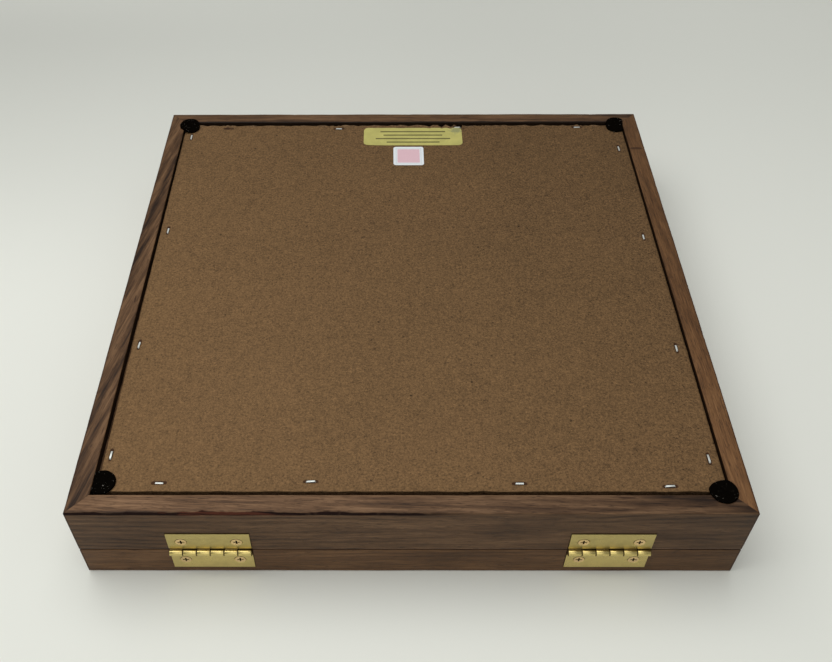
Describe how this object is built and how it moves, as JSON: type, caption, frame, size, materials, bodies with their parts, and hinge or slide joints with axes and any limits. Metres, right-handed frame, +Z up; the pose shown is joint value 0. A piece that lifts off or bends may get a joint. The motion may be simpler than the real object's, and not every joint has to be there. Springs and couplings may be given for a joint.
{
  "type": "hinged display case",
  "caption": "Square wooden shadow-box display case with a hinged glazed lid, hardboard back, felt feet and a brass swing clasp, lying face down.",
  "frame": {"origin": "middle of the footprint, on the surface that the lid's front frame rests on", "axes": "+Z up towards the hardboard back, +X to the right as seen from the hinge side, -Y towards the hinges, +Y towards the clasp. The case is stored as it lies on its glazed front; in use it is turned over, onto its felt feet"},
  "size_m": [0.3048, 0.3109, 0.052],
  "materials": {
    "walnut": "open-pored satin walnut",
    "hardboard": "smooth pressed hardboard",
    "brass": "pale yellow, lightly brushed",
    "steel": "bright zinc",
    "felt": "pressed black felt",
    "glass": "clear",
    "gold_foil": "satin gold foil",
    "white_paper": "coated paper",
    "foam": "foam board",
    "lining": "short-nap black cloth"
  },
  "bodies": {
    "lid": {"clasp_base_plate": "brass", "clasp_base_screws": "brass", "clasp_pivot_rivet": "brass", "glass_pane": "glass", "glass_stop_brads": "steel", "glass_stop_hinge_side": "walnut", "glass_stop_latch_side": "walnut", "glass_stop_left": "walnut", "glass_stop_right": "walnut", "hinge_left_lid_leaf": "brass", "hinge_left_lid_screws": "brass", "hinge_right_lid_leaf": "brass", "hinge_right_lid_screws": "brass", "lid_corner_nails": "steel", "lid_rail_hinge_side": "walnut", "lid_rail_latch_side": "walnut", "lid_rail_left": "walnut", "lid_rail_right": "walnut"},
    "box": {"back_panel": "hardboard", "back_panel_staples": "steel", "box_corner_nails": "steel", "box_rail_hinge_side": "walnut", "box_rail_latch_side": "walnut", "box_rail_left": "walnut", "box_rail_right": "walnut", "clasp_catch_plate": "brass", "clasp_catch_screws": "brass", "clasp_catch_stud": "brass", "display_pad_cover": "lining", "display_pad_foam": "foam", "felt_foot_far_left": "felt", "felt_foot_far_right": "felt", "felt_foot_near_left": "felt", "felt_foot_near_right": "felt", "gold_label": "gold_foil", "hinge_left_box_leaf": "brass", "hinge_left_box_screws": "brass", "hinge_left_pin": "brass", "hinge_right_box_leaf": "brass", "hinge_right_box_screws": "brass", "hinge_right_pin": "brass", "white_sticker": "white_paper"},
    "clasp_hook": {"clasp_hook": "brass"}
  },
  "joints": [
    {"name": "lid_hinge", "type": "hinge", "parent": "lid", "child": "box", "pos_m": [0, -0.15345, 0.0192], "axis": [1, 0, 0], "range_deg": [0, 130]},
    {"name": "clasp_hook_swing", "type": "hinge", "parent": "lid", "child": "clasp_hook", "pos_m": [0, 0.154, 0.01], "axis": [0, -1, 0], "range_deg": [0, 90]}
  ]
}
